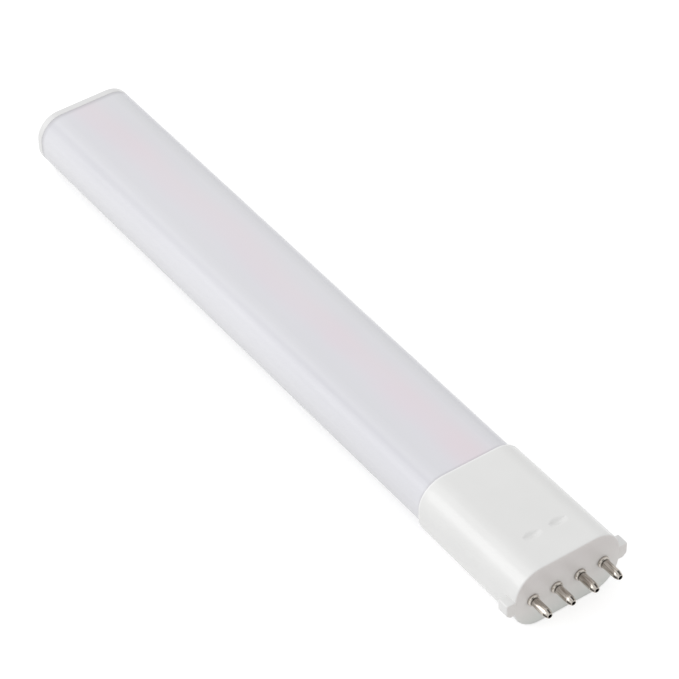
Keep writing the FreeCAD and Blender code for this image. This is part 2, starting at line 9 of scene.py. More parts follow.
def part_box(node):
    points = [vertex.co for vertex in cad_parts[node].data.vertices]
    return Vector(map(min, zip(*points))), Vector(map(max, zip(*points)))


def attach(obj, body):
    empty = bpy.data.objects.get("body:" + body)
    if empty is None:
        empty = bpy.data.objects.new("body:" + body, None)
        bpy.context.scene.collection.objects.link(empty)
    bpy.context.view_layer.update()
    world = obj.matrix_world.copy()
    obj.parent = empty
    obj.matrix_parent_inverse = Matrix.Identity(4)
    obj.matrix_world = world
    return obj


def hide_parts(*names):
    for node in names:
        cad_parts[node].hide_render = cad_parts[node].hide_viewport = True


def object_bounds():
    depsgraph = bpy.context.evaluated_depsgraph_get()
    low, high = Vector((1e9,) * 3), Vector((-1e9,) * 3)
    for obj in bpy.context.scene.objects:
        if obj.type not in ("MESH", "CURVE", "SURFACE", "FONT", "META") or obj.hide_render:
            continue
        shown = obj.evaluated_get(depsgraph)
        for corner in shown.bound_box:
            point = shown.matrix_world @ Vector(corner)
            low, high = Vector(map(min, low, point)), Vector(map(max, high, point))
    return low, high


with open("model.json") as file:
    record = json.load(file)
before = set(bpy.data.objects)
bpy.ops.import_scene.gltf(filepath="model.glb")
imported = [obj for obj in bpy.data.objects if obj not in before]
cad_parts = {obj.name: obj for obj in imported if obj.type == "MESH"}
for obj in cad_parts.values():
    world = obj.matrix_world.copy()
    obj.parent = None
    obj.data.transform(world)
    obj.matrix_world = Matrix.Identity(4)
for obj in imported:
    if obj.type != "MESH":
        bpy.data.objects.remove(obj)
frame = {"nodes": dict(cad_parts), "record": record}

# Milky LED lamp on a white sweep, in metres. The cap's end face is at the origin,
# the pins run out along +X and the lit face looks up along +Z.

cad_box = [[float(number) for number in corner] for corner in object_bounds()]
FLOOR = cad_box[0][2]
cap_low, cap_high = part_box("base_housing")
tube_low, tube_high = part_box("diffuser_tube")
far_low, far_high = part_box("end_cap")
MM = 0.001
CHIPS = 24

# Where the tube enters the cap's mouth, and where it meets the far plug's flange
MOUTH = cap_low[0]
FAR_JOINT = tube_low[0]

# The photograph's view: where the camera stands and what its right and down are
CAMERA_PLACE = Vector((0.42062, -0.35357, 0.57351))
CAMERA_RIGHT = Vector((0.57862, 0.81545, -0.01546))
CAMERA_DOWN = Vector((0.54097, -0.39791, -0.74096))
SENSOR = 36.0
LENS = 177.86

# Light levels
WORLD_LEVEL = 0.772
KEY_LEVEL = 0.24
KEY_FROM = Vector((-0.40, -0.85, 0.55))
KEY_SPREAD = 42
FLOOR_TONE = 0.68
FLOOR_LIFT = 0.55
FLOOR_HALF = 3.0
STRIP_LEVEL = 0.62
STRIP_TOP = Vector((-0.95, -0.16, 1.2))
STRIP_FOOT = Vector((-0.95, -1.45, 0.0))
STRIP_LENGTH = 1.3
FLAG_FROM = Vector((0.75, -0.15, 0.62))
FLAG_AWAY = 1.3
FLAG_HALF = 0.45

# Materials: the roughness of the casings, the soft edge between two finishes, and the colour
# sockets of a Mix node, whose names repeat for each kind of data
GAMMA = 2.2
CASING_ROUGH = (0.17, 0.25)
SOFT_EDGE = 0.02 * MM
MIX_FACTOR, MIX_FIRST, MIX_SECOND, MIX_RESULT = 0, 6, 7, 2

# The front of a pin's collar and the pressed grooves in its tip, which its mesh and its metal share.
# Lengths are in millimetres.
COLLAR_FRONT = 0.9
GROOVES = 4
GROOVE_TURN = math.radians(35)
GROOVE_START = 1.55
GROOVE_EDGE = 0.30
GROOVE_EASE = 0.4
GROOVE_DEPTH = 0.12
RIM_PLAIN = 0.1
RIM_EASE = 0.2


def linear(red, green, blue):
    """A colour given as 0 to 255 display values."""
    return tuple((number / 255) ** GAMMA for number in (red, green, blue))


def add_object(name, data):
    """A new object in the scene."""
    thing = bpy.data.objects.new(name, data)
    bpy.context.collection.objects.link(thing)
    return thing


class Finish:
    """One material, built from nodes in the object's own coordinates."""

    def __init__(self, name):
        self.material = bpy.data.materials.new(name)
        self.material.use_nodes = True
        self.nodes = self.material.node_tree.nodes
        self.links = self.material.node_tree.links
        self.shader = self.nodes["Principled BSDF"]
        self.place = self.nodes.new("ShaderNodeTexCoord").outputs["Object"]
        split = self.nodes.new("ShaderNodeSeparateXYZ")
        self.links.new(self.place, split.inputs["Vector"])
        self.along, self.across, self.up = (split.outputs[axis] for axis in "XYZ")

    def feed(self, socket, source):
        """Links a socket, or sets it to a number or a colour."""
        if isinstance(source, bpy.types.NodeSocket):
            self.links.new(source, socket)
        elif isinstance(source, tuple):
            socket.default_value = (*source, 1)
        else:
            socket.default_value = source

    def noise(self, size, detail=3.0, roughness=0.5, stretch=(1, 1, 1)):
        """Noise whose blotches are about size metres across."""
        mapping = self.nodes.new("ShaderNodeMapping")
        mapping.inputs["Scale"].default_value = stretch
        self.links.new(self.place, mapping.inputs["Vector"])
        texture = self.nodes.new("ShaderNodeTexNoise")
        texture.inputs["Scale"].default_value = 1 / size
        texture.inputs["Detail"].default_value = detail
        texture.inputs["Roughness"].default_value = roughness
        self.links.new(mapping.outputs["Vector"], texture.inputs["Vector"])
        return texture.outputs["Fac"]

    def cells(self, size):
        """Voronoi cells of about size metres."""
        texture = self.nodes.new("ShaderNodeTexVoronoi")
        texture.inputs["Scale"].default_value = 1 / size
        self.links.new(self.place, texture.inputs["Vector"])
        return texture.outputs["Distance"]

    def calc(self, operation, first, second=0.0):
        """What a Math node makes of one or two values."""
        node = self.nodes.new("ShaderNodeMath")
        node.operation = operation
        self.feed(node.inputs[0], first)
        self.feed(node.inputs[1], second)
        return node.outputs["Value"]

    def times(self, first, second):
        """The product of two values."""
        return self.calc("MULTIPLY", first, second)

    def away(self, value, middle):
        """How far the value is from the middle, on either side."""
        return self.calc("ABSOLUTE", self.calc("SUBTRACT", value, middle))

    def distance(self, first, second):
        """How far a point is from an axis, by its two offsets from it."""
        squares = [self.calc("POWER", offset, 2.0) for offset in (first, second)]
        return self.calc("SQRT", self.calc("ADD", *squares))

    def weave(self, frequency):
        """Waves along and across, at so many radians a metre."""
        return self.times(self.calc("SINE", self.times(self.along, frequency)),
                          self.calc("SINE", self.times(self.across, frequency)))

    def span(self, value, low, high, start=0.0, end=1.0):
        """Eases from start to end as the value goes from low to high."""
        node = self.nodes.new("ShaderNodeMapRange")
        node.interpolation_type = "SMOOTHSTEP"
        for name, number in (("From Min", low), ("From Max", high), ("To Min", start), ("To Max", end)):
            node.inputs[name].default_value = number
        self.links.new(value, node.inputs["Value"])
        return node.outputs["Result"]

    def share(self, value, low, high):
        """How far the value is on its straight way from low to high, 0 to 1."""
        node = self.nodes.new("ShaderNodeMapRange")
        node.inputs["From Min"].default_value = low
        node.inputs["From Max"].default_value = high
        self.links.new(value, node.inputs["Value"])
        return node.outputs["Result"]

    def hump(self, value, middle, half):
        """1 at the middle, easing to 0 at half away on either side."""
        return self.span(self.away(value, middle), 0.0, half, 1.0, 0.0)

    def inside(self, value, middle, half, edge=SOFT_EDGE):
        """1 within half of the middle, with a soft edge."""
        return self.span(self.away(value, middle), half - edge, half + edge, 1.0, 0.0)

    def ramp(self, factor, stops):
        """A colour ramp through (place, colour) stops."""
        node = self.nodes.new("ShaderNodeValToRGB")
        elements = node.color_ramp.elements
        while len(elements) < len(stops):
            elements.new(0.5)
        for element, (place, color) in zip(elements, stops):
            element.position = place
            element.color = (*color, 1)
        self.links.new(factor, node.inputs["Fac"])
        return node.outputs["Color"]

    def mottle(self, factor, deep, pale):
        """Soft blotches of two colours."""
        return self.ramp(factor, [(0.35, deep), (0.65, pale)])

    def mix(self, factor, first, second):
        """The first colour, turned into the second by the factor."""
        node = self.nodes.new("ShaderNodeMix")
        node.data_type = "RGBA"
        self.feed(node.inputs[MIX_FACTOR], factor)
        self.feed(node.inputs[MIX_FIRST], first)
        self.feed(node.inputs[MIX_SECOND], second)
        return node.outputs[MIX_RESULT]

    def color(self, source):
        self.feed(self.shader.inputs["Base Color"], source)

    def metallic(self, source):
        self.feed(self.shader.inputs["Metallic"], source)

    def rough(self, factor, low, high, extra=None):
        """Roughness that wanders between two values, raised by an extra one."""
        value = self.span(factor, 0.25, 0.75, low, high)
        if extra is not None:
            value = self.calc("ADD", value, extra)
        self.links.new(value, self.shader.inputs["Roughness"])

    def bump(self, *layers):
        """Bump layers, each given as (height, strength, depth in metres)."""
        normal = None
        for height, strength, depth in layers:
            node = self.nodes.new("ShaderNodeBump")
            node.inputs["Strength"].default_value = strength
            node.inputs["Distance"].default_value = depth
            self.links.new(height, node.inputs["Height"])
            if normal:
                self.links.new(normal, node.inputs["Normal"])
            normal = node.outputs["Normal"]
        self.links.new(normal, self.shader.inputs["Normal"])


# Casings
def moulded_white(name, pale, deep, front=False):
    """White moulded plastic: faint mottling, a spark-eroded grain, fine rubs and a soft gloss.

    With front, it has the cap's duller end face, painted with shading that changes with height, and a
    painted highlight along the lip at its mouth too.
    """
    finish = Finish(name)
    rubs = finish.noise(1.2 * MM, detail=5, roughness=0.7, stretch=(0.06, 1, 1))
    tone = finish.mottle(finish.noise(16 * MM, detail=4), deep, pale)
    tone = finish.mix(finish.span(rubs, 0.68, 0.78, 0.0, 0.10), tone, linear(222, 222, 220))
    dullness = None
    if front:
        face = finish.span(finish.along, -0.22 * MM, -0.06 * MM)
        # Painted shading on the end face, by height: paler below the middle, greenish at the bottom, darker
        # and lilac towards the top.
        face_shading = finish.ramp(finish.share(finish.up, cap_low[2], cap_high[2]),
                                [(0.05, linear(226, 228, 224)), (0.35, linear(239, 236, 233)),
                                 (0.85, linear(227, 222, 220))])
        tone = finish.mix(face, tone, face_shading)
        # Painted highlight: a near-white band along the lip at the mouth.
        lip = finish.span(finish.along, MOUTH + 0.45 * MM, MOUTH + 0.75 * MM, 0.6, 0.0)
        tone = finish.mix(lip, tone, linear(252, 252, 252))
        dullness = finish.times(face, 0.14)
    finish.color(tone)
    finish.rough(finish.noise(7 * MM, detail=3), *CASING_ROUGH, dullness)
    grain = finish.noise(0.35 * MM, detail=2)
    sink = finish.noise(22 * MM, detail=1)
    finish.bump((sink, 0.10, 0.3 * MM), (grain, 0.20, 0.015 * MM), (rubs, 0.06, 0.01 * MM))
    return finish.material


def milky_tube():
    """Frosted tube: cool sides with a painted highlight band and painted shade, a faint pink band, blotches
    and a patch near the mouth along its top, and a shade at both joints.
    """
    finish = Finish("milky_tube")
    wander = finish.span(finish.noise(45 * MM, detail=2, stretch=(0.5, 1, 1)), 0.3, 0.7, -0.08, 0.08)
    place = finish.calc("ADD", finish.share(finish.across, -tube_high[1], tube_high[1]), wander)
    top = finish.ramp(place, [(0.06, linear(224, 224, 229)), (0.20, linear(227, 227, 232)),
                              (0.32, linear(228, 227, 233)), (0.44, linear(231, 224, 231)),
                              (0.58, linear(231, 223, 229)), (0.74, linear(226, 225, 230)),
                              (0.92, linear(226, 227, 230))])
    blush = finish.noise(14 * MM, detail=2, stretch=(0.55, 1, 1))
    spots = finish.times(finish.span(blush, 0.52, 0.68), finish.hump(finish.across, -0.5 * MM, 9 * MM))
    top = finish.mix(finish.times(spots, 0.24), top, linear(236, 221, 230))
    near_mouth = finish.times(finish.hump(finish.along, MOUTH - 5 * MM, 11 * MM),
                              finish.hump(finish.across, 1.5 * MM, 8 * MM))
    top = finish.mix(finish.times(near_mouth, 0.25), top, linear(234, 217, 222))
    # Painted light on the sides, by height: a paler band below the shoulder stands in for a highlight, and
    # the sides are painted darker towards the bottom and towards the upper corner, as shade.
    side = finish.ramp(finish.share(finish.up, tube_low[2], tube_high[2]),
                       [(0.20, linear(205, 206, 209)), (0.38, linear(223, 223, 227)),
                        (0.58, linear(233, 233, 237)), (0.76, linear(231, 231, 236)),
                        (0.90, linear(214, 214, 220)), (1.0, linear(219, 219, 225))])
    # Painted shade: the sides darken towards the cap's mouth.
    mouth_side_shade = finish.span(finish.along, MOUTH - 90 * MM, MOUTH, 0.0, 0.22)
    side = finish.mix(mouth_side_shade, side, linear(208, 208, 214))
    tone = finish.mix(finish.span(finish.up, 7.0 * MM, 7.85 * MM), side, top)
    cloud = finish.noise(24 * MM, detail=3, stretch=(0.4, 1, 1))
    tone = finish.mix(finish.span(cloud, 0.35, 0.65, 0.0, 0.2), tone, linear(236, 236, 240))
    mouth_shade = finish.span(finish.along, MOUTH - 1.3 * MM, MOUTH - 0.1 * MM, 0.0, 0.62)
    far_shade = finish.span(finish.along, FAR_JOINT, FAR_JOINT + 1.6 * MM, 0.55, 0.0)
    finish.color(finish.mix(finish.calc("MAXIMUM", mouth_shade, far_shade), tone, linear(186, 184, 188)))
    finish.rough(finish.noise(11 * MM, detail=1), *CASING_ROUGH)
    lines = finish.noise(1.8 * MM, detail=2, stretch=(0.02, 1, 1))
    finish.bump((lines, 0.12, 0.02 * MM))
    return finish.material


# Metals
def pin_metal(name, middle, length, collar):
    """Nickel plate: drawn lines, painted shade in the tip's grooves, a paler collar with a painted
    highlight, painted shade in the crease at the collar and at its foot, and painted shade in the hole.
    """
    finish = Finish(name)
    side = finish.calc("SUBTRACT", finish.across, middle)
    lines = finish.noise(0.22 * MM, detail=4, roughness=0.65, stretch=(0.05, 1, 1))
    blotches = finish.noise(1.1 * MM, detail=3)
    tone = finish.ramp(lines, [(0.36, linear(136, 128, 119)), (0.50, linear(186, 179, 170)),
                               (0.64, linear(232, 228, 222))])
    tone = finish.mix(finish.span(blotches, 0.45, 0.75, 0.0, 0.4), tone, linear(160, 151, 141))
    polish = finish.span(finish.along, length - GROOVE_START * MM, length - 1.25 * MM)
    tone = finish.mix(finish.times(polish, 0.4), tone, linear(186, 181, 174))
    # Painted shade: the pressed grooves in the tip are painted near black.
    turn = finish.times(finish.calc("ARCTAN2", finish.up, side), GROOVES)
    groove = finish.span(finish.calc("COSINE", finish.calc("ADD", turn, GROOVE_TURN)), GROOVE_EDGE, 0.65)
    behind_rim = finish.span(finish.along, length - 0.16 * MM, length - 0.08 * MM, 1.0, 0.0)
    groove = finish.times(groove, finish.times(polish, behind_rim))
    tone = finish.mix(finish.times(groove, 0.9), tone, linear(46, 42, 38))
    # The collar is painted paler than the shank: partly its own smoother metal, partly a painted highlight.
    ring = finish.span(finish.along, collar, collar + 0.10 * MM, 1.0, 0.0)
    tone = finish.mix(finish.times(ring, 0.7), tone, linear(202, 196, 188))
    # Painted shade: the crease behind the collar and the foot where the pin meets the cap are painted near
    # black.
    crease = finish.hump(finish.along, collar + 0.10 * MM, 0.26 * MM)
    foot = finish.hump(finish.along, 0.0, 0.18 * MM)
    crease_and_foot_shade = finish.calc("MAXIMUM", finish.times(crease, 0.9), foot)
    tone = finish.mix(crease_and_foot_shade, tone, linear(42, 38, 34))
    # Painted shade: the inside of the hole is painted near black and not metal.
    hole = finish.span(finish.distance(side, finish.up), 0.53 * MM, 0.58 * MM, 1.0, 0.0)
    finish.color(finish.mix(hole, tone, linear(8, 7, 6)))
    finish.metallic(finish.calc("SUBTRACT", 1.0, hole))
    finish.rough(blotches, 0.12, 0.26)
    finish.bump((lines, 0.35, 0.025 * MM), (blotches, 0.15, 0.04 * MM))
    return finish.material


def drawn_metal(name, pale, deep, rough, stretch, size=1.4 * MM):
    """Bare metal with lines along its length."""
    finish = Finish(name)
    lines = finish.noise(size, detail=5, roughness=0.6, stretch=stretch)
    cloud = finish.noise(9 * MM, detail=3)
    tone = finish.ramp(lines, [(0.3, deep), (0.7, pale)])
    finish.color(finish.mix(finish.span(cloud, 0.45, 0.75, 0.0, 0.3), tone, deep))
    finish.metallic(1.0)
    finish.rough(cloud, *rough)
    finish.bump((lines, 0.3, 0.02 * MM))
    return finish.material


# Inner pieces
def matt(name, pale, deep, rough, size, grain=0.25 * MM, depth=0.02 * MM):
    """A plain matt skin with mottling and grain."""
    finish = Finish(name)
    finish.color(finish.mottle(finish.noise(size, detail=4), deep, pale))
    finish.rough(finish.noise(size * 2, detail=2), *rough)
    finish.bump((finish.noise(grain, detail=3), 0.35, depth))
    return finish.material


def gauze_tape():
    """Thermal tape: a glass gauze shows through the adhesive."""
    finish = Finish("thermal_tape")
    weave = finish.weave(9000.0)
    tone = finish.ramp(finish.span(weave, -1.0, 1.0),
                       [(0.0, linear(206, 206, 198)), (1.0, linear(230, 230, 222))])
    adhesive = finish.span(finish.noise(5 * MM), 0.4, 0.7, 0.0, 0.3)
    finish.color(finish.mix(adhesive, tone, linear(196, 194, 182)))
    finish.rough(finish.noise(2 * MM), 0.55, 0.7)
    finish.bump((weave, 0.3, 0.02 * MM))
    return finish.material


def solder_mask(name, node, pale, deep, trace, pitch):
    """A circuit board: its mask stands up over the tracks, and the glass cloth shows faintly."""
    finish = Finish(name)
    low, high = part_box(node)
    rows = finish.calc("SINE", finish.times(finish.across, 2 * math.pi / pitch))
    bends = finish.span(finish.noise(4 * MM, detail=0, stretch=(1, 1, 0)), 0.42, 0.50)
    tracks = finish.times(finish.span(rows, 0.25, 0.45), bends)
    tone = finish.mottle(finish.noise(2.5 * MM, detail=3), deep, pale)
    tone = finish.mix(finish.times(tracks, 0.75), tone, trace)
    cut_edge = finish.times(finish.span(finish.up, low[2] + 0.05 * MM, low[2] + 0.12 * MM),
                            finish.span(finish.up, high[2] - 0.12 * MM, high[2] - 0.05 * MM, 1.0, 0.0))
    finish.color(finish.mix(cut_edge, tone, linear(196, 186, 140)))
    finish.rough(finish.noise(1.5 * MM), 0.32, 0.46)
    finish.bump((tracks, 0.4, 0.04 * MM), (finish.weave(12000.0), 0.12, 0.01 * MM))
    return finish.material


def lit_chip():
    """White chip frames round yellow phosphor windows."""
    finish = Finish("lit_chip")
    first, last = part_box("led_chip_01"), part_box(f"led_chip_{CHIPS:02d}")
    start = (first[0][0] + first[1][0]) / 2
    pitch = (start - (last[0][0] + last[1][0]) / 2) / (CHIPS - 1)
    turns = finish.calc("DIVIDE", finish.calc("SUBTRACT", start + pitch / 2, finish.along), pitch)
    local = finish.times(finish.calc("SUBTRACT", finish.calc("FRACT", turns), 0.5), pitch)
    window = finish.times(finish.inside(local, 0.0, 1.03 * MM), finish.inside(finish.across, 0.0, 1.38 * MM))
    grains = finish.cells(0.12 * MM)
    phosphor = finish.ramp(grains, [(0.1, linear(226, 190, 74)), (0.8, linear(246, 226, 138))])
    frame_tone = finish.mottle(finish.noise(0.8 * MM), linear(226, 226, 220), linear(240, 240, 236))
    finish.color(finish.mix(window, frame_tone, phosphor))
    finish.rough(window, 0.45, 0.28)
    finish.bump((grains, 0.2, 0.02 * MM))
    return finish.material


def bare_leads(finish):
    """1 on a capacitor's leads, below its body."""
    return finish.span(finish.up, -0.42 * MM, -0.40 * MM, 1.0, 0.0)


def sleeved_can(node):
    """A black shrink sleeve with a grey stripe, and a bare rolled top."""
    finish = Finish(f"sleeve_{node}")
    low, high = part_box(node)
    middle = (low[0] + high[0]) / 2
    front = (low[1] + high[1]) / 2
    radius = (high[0] - low[0]) / 2
    stripe = finish.times(finish.inside(finish.along, middle, 0.8 * MM, 0.04 * MM),
                          finish.span(finish.across, front - 0.1 * MM, front, 1.0, 0.0))
    reach = finish.distance(finish.calc("SUBTRACT", finish.along, middle),
                            finish.calc("SUBTRACT", finish.across, front))
    bare_top = finish.times(finish.span(finish.up, high[2] - 0.32 * MM, high[2] - 0.28 * MM),
                            finish.span(reach, radius - 0.34 * MM, radius - 0.30 * MM, 1.0, 0.0))
    bare = finish.calc("MAXIMUM", bare_top, bare_leads(finish))
    sleeve = finish.mottle(finish.noise(2 * MM, detail=3), linear(22, 22, 27), linear(38, 38, 46))
    sleeve = finish.mix(stripe, sleeve, linear(176, 178, 182))
    finish.color(finish.mix(bare, sleeve, linear(200, 200, 204)))
    finish.metallic(bare)
    finish.rough(finish.noise(1.2 * MM), 0.24, 0.38)
    finish.bump((finish.noise(1.6 * MM, detail=2), 0.2, 0.05 * MM))
    return finish.material


def dipped_case():
    """A dipped film capacitor: orange-peel lacquer over the winding, with tinned leads."""
    finish = Finish("dipped_case")
    peel = finish.noise(0.7 * MM, detail=2)
    lacquer = finish.mottle(finish.noise(2.4 * MM, detail=3), linear(150, 34, 26), linear(184, 54, 40))
    leads = bare_leads(finish)
    finish.color(finish.mix(leads, lacquer, linear(196, 192, 184)))
    finish.metallic(leads)
    finish.rough(peel, 0.22, 0.36)
    finish.bump((peel, 0.35, 0.08 * MM))
    return finish.material


def wound_copper():
    """Enamelled wire, turn beside turn."""
    finish = Finish("wound_copper")
    turns = finish.calc("SINE", finish.times(finish.up, 2 * math.pi / (0.28 * MM)))
    tone = finish.ramp(finish.span(turns, -1.0, 1.0),
                       [(0.0, linear(92, 44, 20)), (0.5, linear(176, 96, 50)), (1.0, linear(214, 134, 78))])
    darker = finish.span(finish.noise(1.5 * MM), 0.45, 0.7, 0.0, 0.4)
    finish.color(finish.mix(darker, tone, linear(140, 70, 34)))
    finish.metallic(1.0)
    finish.rough(finish.noise(1 * MM), 0.24, 0.38)
    finish.bump((turns, 0.5, 0.05 * MM))
    return finish.material


def legged_case(node, axis, half):
    """A black moulded case with tinned legs along one axis."""
    finish = Finish(f"case_{node}")
    low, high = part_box(node)
    side = "XY".index(axis)
    middle = (low[side] + high[side]) / 2
    body = finish.inside((finish.along, finish.across)[side], middle, half)
    moulding = finish.mottle(finish.noise(1.2 * MM, detail=4), linear(20, 20, 21), linear(34, 34, 36))
    finish.color(finish.mix(body, linear(192, 190, 184), moulding))
    finish.metallic(finish.calc("SUBTRACT", 1.0, body))
    finish.rough(finish.noise(0.6 * MM), 0.38, 0.55)
    finish.bump((finish.noise(0.15 * MM, detail=2), 0.3, 0.02 * MM))
    return finish.material


def banded_resistor():
    """A lacquered barrel between two plated caps."""
    finish = Finish("lacquered_resistor")
    low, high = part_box("fuse_resistor")
    middle = (low[1] + high[1]) / 2
    barrel = finish.inside(finish.across, middle, 1.9 * MM)
    lacquer = finish.mottle(finish.noise(1.2 * MM, detail=3), linear(96, 128, 150), linear(126, 156, 176))
    finish.color(finish.mix(barrel, linear(200, 197, 190), lacquer))
    finish.metallic(finish.calc("SUBTRACT", 1.0, barrel))
    finish.rough(finish.noise(0.8 * MM), 0.28, 0.42)
    finish.bump((finish.noise(0.5 * MM), 0.25, 0.03 * MM))
    return finish.material


# The casings' materials, which their CAD nodes and the pieces for them share
cap_white = moulded_white("cap_plastic", linear(236, 236, 235), linear(233, 233, 232), front=True)
far_white = moulded_white("far_cap_plastic", linear(234, 234, 234), linear(231, 231, 231))


def paint_nodes():
    """Gives every CAD node its material."""
    finishes = {
        "cap_plastic": cap_white,
        "far_cap_plastic": far_white,
        "diffuser_plastic": milky_tube(),
        "pin_metal": drawn_metal("plain_nickel", linear(214, 210, 203), linear(150, 145, 138),
                                 rough=(0.16, 0.30), stretch=(0.07, 1, 1), size=0.3 * MM),
        "spreader_metal": drawn_metal("spreader_aluminium", linear(205, 206, 208), linear(178, 179, 182),
                                      rough=(0.30, 0.45), stretch=(0.02, 1, 1)),
        "tape": gauze_tape(),
        "strip_white": solder_mask("white_mask", "led_board", linear(240, 240, 237), linear(232, 232, 228),
                                   trace=linear(222, 222, 216), pitch=3.4 * MM),
        "chip_yellow": lit_chip(),
        "board_green": solder_mask("green_mask", "driver_board", linear(32, 104, 58), linear(24, 86, 46),
                                   trace=linear(48, 132, 76), pitch=1.9 * MM),
        "film_case": dipped_case(),
        "ferrite": matt("sintered_ferrite", linear(66, 66, 70), linear(44, 44, 47),
                        rough=(0.6, 0.8), size=1.5 * MM, grain=0.18 * MM, depth=0.05 * MM),
        "winding": wound_copper(),
        "resistor_body": banded_resistor(),
        "wire": drawn_metal("tinned_wire", linear(208, 204, 196), linear(168, 164, 156),
                            rough=(0.2, 0.35), stretch=(0.1, 1, 1), size=0.2 * MM),
        "wire_red": matt("red_insulation", linear(176, 30, 26), linear(150, 20, 18),
                         rough=(0.3, 0.42), size=2 * MM),
        "wire_black": matt("black_insulation", linear(30, 30, 31), linear(18, 18, 19),
                           rough=(0.3, 0.42), size=2 * MM),
    }
    own = {
        "input_capacitor": sleeved_can("input_capacitor"),
        "output_capacitor": sleeved_can("output_capacitor"),
        "bridge_rectifier": legged_case("bridge_rectifier", "X", 1.9 * MM),
        "driver_circuit": legged_case("driver_circuit", "Y", 1.95 * MM),
    }
    slots = {entry["node"]: entry["material_slot"] for entry in frame["record"]["subparts"]}
    for node, thing in frame["nodes"].items():
        thing.data.materials.clear()
        thing.data.materials.append(own[node] if node in own else finishes[slots[node]])


# Rounded casings, from rings of points. Each ring is finest along its top. Two places count as the
# same within SAME_PLACE in metres, and two heights within SAME_HEIGHT in millimetres.
TOP_STEPS = 112
CORNER_STEPS = 22
SAME_PLACE = 1e-7
SAME_HEIGHT = 1e-6


def outline(half_width, half_height, corner):
    """Points round a rounded rectangle as (across, up), the top first and finest."""
    flat_width, flat_height = half_width - corner, half_height - corner
    points = [(flat_width * (2 * step / TOP_STEPS - 1), half_height) for step in range(TOP_STEPS)]
    # For each corner: its first angle, its side across and up, and the steps of the flat after it
    for start, across, up, steps in ((90, 1, 1, 2), (0, 1, -1, 6), (-90, -1, -1, 2), (-180, -1, 1, 0)):
        for step in range(CORNER_STEPS + (steps == 0)):
            angle = math.radians(start - 90 * step / CORNER_STEPS)
            points.append((across * flat_width + corner * math.cos(angle),
                           up * flat_height + corner * math.sin(angle)))
        for step in range(steps):
            share = step / steps
            if across == up:
                points.append((across * half_width, across * flat_height * (1 - 2 * share)))
            else:
                points.append((flat_width * (1 - 2 * share), -half_height))
    return points[:-1]


def quarter_round(radius, step):
    """Places round an edge, from its side to its face, as (depth behind the face, inset)."""
    turns = [math.radians(angle) for angle in range(0, 91, step)]
    return [(radius * (1 - math.sin(turn)), radius * (1 - math.cos(turn))) for turn in turns]


def place_ring(mesh, x, points):
    """A ring of vertices at one place along the lamp, from points in millimetres."""
    return [mesh.verts.new((x * MM, across * MM, up * MM)) for across, up in points]


def join_rings(mesh, rings):
    """Bridges each ring of vertices to the next one."""
    for first, second in zip(rings, rings[1:]):
        for step in range(len(first)):
            following = (step + 1) % len(first)
            mesh.faces.new((first[step], second[step], second[following], first[following])).smooth = True


def close_ring(mesh, ring):
    """A flat face over a ring."""
    mesh.faces.new(ring).smooth = False


def dress(name, mesh, material, node, sharp=30):
    """Turns a bmesh into a piece that stands for a node."""
    bmesh.ops.recalc_face_normals(mesh, faces=mesh.faces)
    data = bpy.data.meshes.new(name)
    mesh.to_mesh(data)
    mesh.free()
    data.set_sharp_from_angle(angle=math.radians(sharp))
    data.materials.append(material)
    piece = add_object(name, data)
    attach(piece, "root")
    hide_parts(node)
    return piece


def edges_of(vertices):
    """Every edge that ends at one of the vertices, once each and in a fixed order."""
    return list(dict.fromkeys(edge for vertex in vertices for edge in vertex.link_edges))


def rounded_box(mesh, low, high, radius, cut=0.0):
    """A block with rounded edges; cut trims its lower outer long edge."""
    made = bmesh.ops.create_cube(mesh, size=1.0)["verts"]
    centre = [(a + b) / 2 for a, b in zip(low, high)]
    for vertex in made:
        place = [c + v * (b - a) for c, v, a, b in zip(centre, vertex.co, low, high)]
        vertex.co = Vector(place) * MM
    if cut:
        outer = max(abs(low[1]), abs(high[1])) * MM
        lower_outer = [edge for edge in edges_of(made)
                       if all(abs(abs(vertex.co.y) - outer) < SAME_PLACE and vertex.co.z < centre[2] * MM
                              for vertex in edge.verts)]
        trimmed = bmesh.ops.bevel(mesh, geom=lower_outer, offset=cut * MM, segments=1, affect="EDGES")
        made = [vertex for vertex in made if vertex.is_valid]
        made = list(dict.fromkeys(made + list(trimmed["verts"])))
    rounded = bmesh.ops.bevel(mesh, geom=edges_of(made), offset=radius * MM, segments=4, profile=0.5,
                              affect="EDGES")
    for face in rounded["faces"]:
        face.smooth = True


# Moulded cap, in millimetres: its rings are close together where the marks are scooped out
CAP_LENGTH = (cap_high[0] - cap_low[0]) / MM
CAP_HALF_HEIGHT = 9.1
CAP_HALF_WIDTH = 15.65
CAP_CORNER = 7.7
CAP_DRAFT = 0.25
CAP_EDGE = 0.5
CAP_LIP = 0.4
CAP_ROWS = (-1.5, -3.5, -5.2, *(-5.4 - 0.15 * step for step in range(44)), -12.6, -15, -20, -26, -32, -36)
END_WALL = 2.2
SEAT_GAP = 0.1
SEAT_CORNER = 7.0
SEAT_DEPTH = 9
SEAT_LEDGE = 1.3
PIN_BLOCK = ((-6.2, -13.0, -2.475), (-2.1, 13.0, 2.475))
PIN_BLOCK_ROUND = 0.3
LUG_ROOT = 14.9
LUG_ALONG = (-3.6, -0.02)
LUG_UP = (-2.55, 1.85)
LUG_ROUND = 0.42
LUG_CUT = 1.1
MARK_EDGE = -11.45
MARK_RADIUS = 3.4
MARK_HALF = 2.6
MARK_DEPTH = 0.62
MARK_WALL = 1.35
MARK_FLOOR = 1.8
MARKS = (-3.15, 4.55)


def smooth_step(value):
    """Eases from 0 to 1 as the value goes from 0 to 1."""
    value = max(0.0, min(1.0, value))
    return value * value * (3 - 2 * value)


